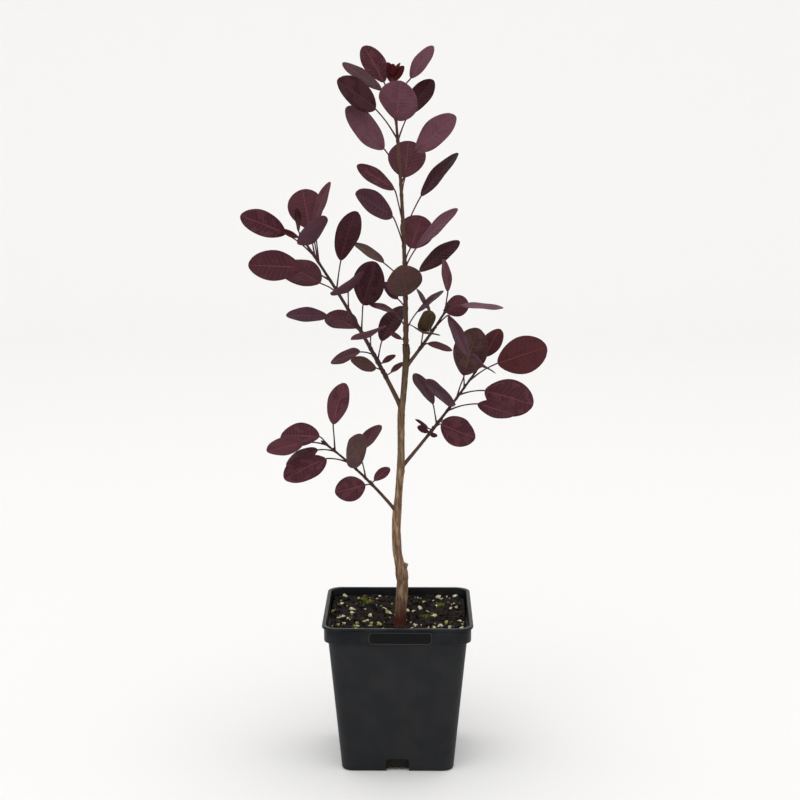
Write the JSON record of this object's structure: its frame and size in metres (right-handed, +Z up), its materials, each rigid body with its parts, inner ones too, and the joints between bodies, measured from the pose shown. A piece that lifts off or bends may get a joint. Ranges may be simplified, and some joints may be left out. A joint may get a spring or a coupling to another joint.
{
  "type": "smoke bush",
  "caption": "Young purple smoke bush in a square black nursery pot, with a slender leaning trunk, side shoots and round dark leaves.",
  "frame": {"origin": "middle of the pot's flat underside, on the surface that it stands on", "axes": "+Z up, -Y towards the viewer of the picture, +X to that viewer's right"},
  "size_m": [0.2114, 0.1105, 0.4888],
  "materials": {
    "pot": "moulded satin black plastic with light dust",
    "potting_mix": "damp dark peat and bark with pale grains",
    "bark": "thin olive-brown bark with vertical streaks",
    "young_bark": "smooth purplish-brown young bark",
    "leaf": "matt purple leaf with a soft bluish sheen"
  },
  "bodies": {
    "root": {"pot": "pot", "potting_mix": "potting_mix", "trunk": "bark", "lower_left_bough": "young_bark", "upper_left_bough": "young_bark", "lower_right_bough": "young_bark", "upper_right_bough": "young_bark", "lower_left_leaves": "leaf", "upper_left_leaves": "leaf", "lower_right_leaves": "leaf", "upper_right_leaves": "leaf", "leader_leaves": "leaf"}
  },
  "joints": []
}
